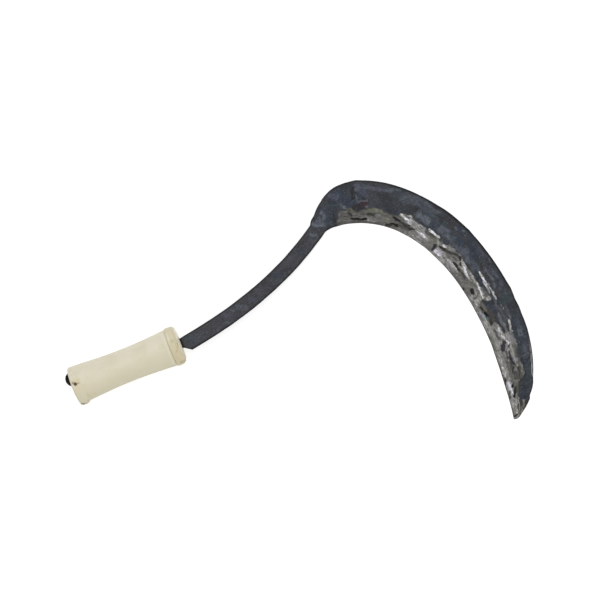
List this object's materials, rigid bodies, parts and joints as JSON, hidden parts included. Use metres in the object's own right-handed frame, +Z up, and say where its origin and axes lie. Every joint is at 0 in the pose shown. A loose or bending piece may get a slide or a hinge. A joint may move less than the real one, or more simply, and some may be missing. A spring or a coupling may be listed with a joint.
{
  "type": "hand sickle",
  "caption": "Hand sickle with a wide crescent blade, a curved flat shank forged in one with it, and a waisted plastic grip with a front ferrule.",
  "frame": {"origin": "on the grip's axis at its waist, where the hand closes", "axes": "+X along the grip towards the blade, +Y towards the back of the blade, +Z up from the table that the blade lies on"},
  "size_m": [0.4472, 0.2831, 0.04],
  "materials": {
    "forged_steel": "dark forge scale with a rough ground bevel",
    "grip_plastic": "matte cream moulding",
    "ferrule_plastic": "matte cream moulding, slightly yellowed",
    "rusty_steel": "rusted"
  },
  "bodies": {
    "root": {"blade": "forged_steel", "handle": "grip_plastic", "ferrule": "ferrule_plastic", "butt_pin": "rusty_steel", "ferrule_peg": "ferrule_plastic"}
  },
  "joints": []
}
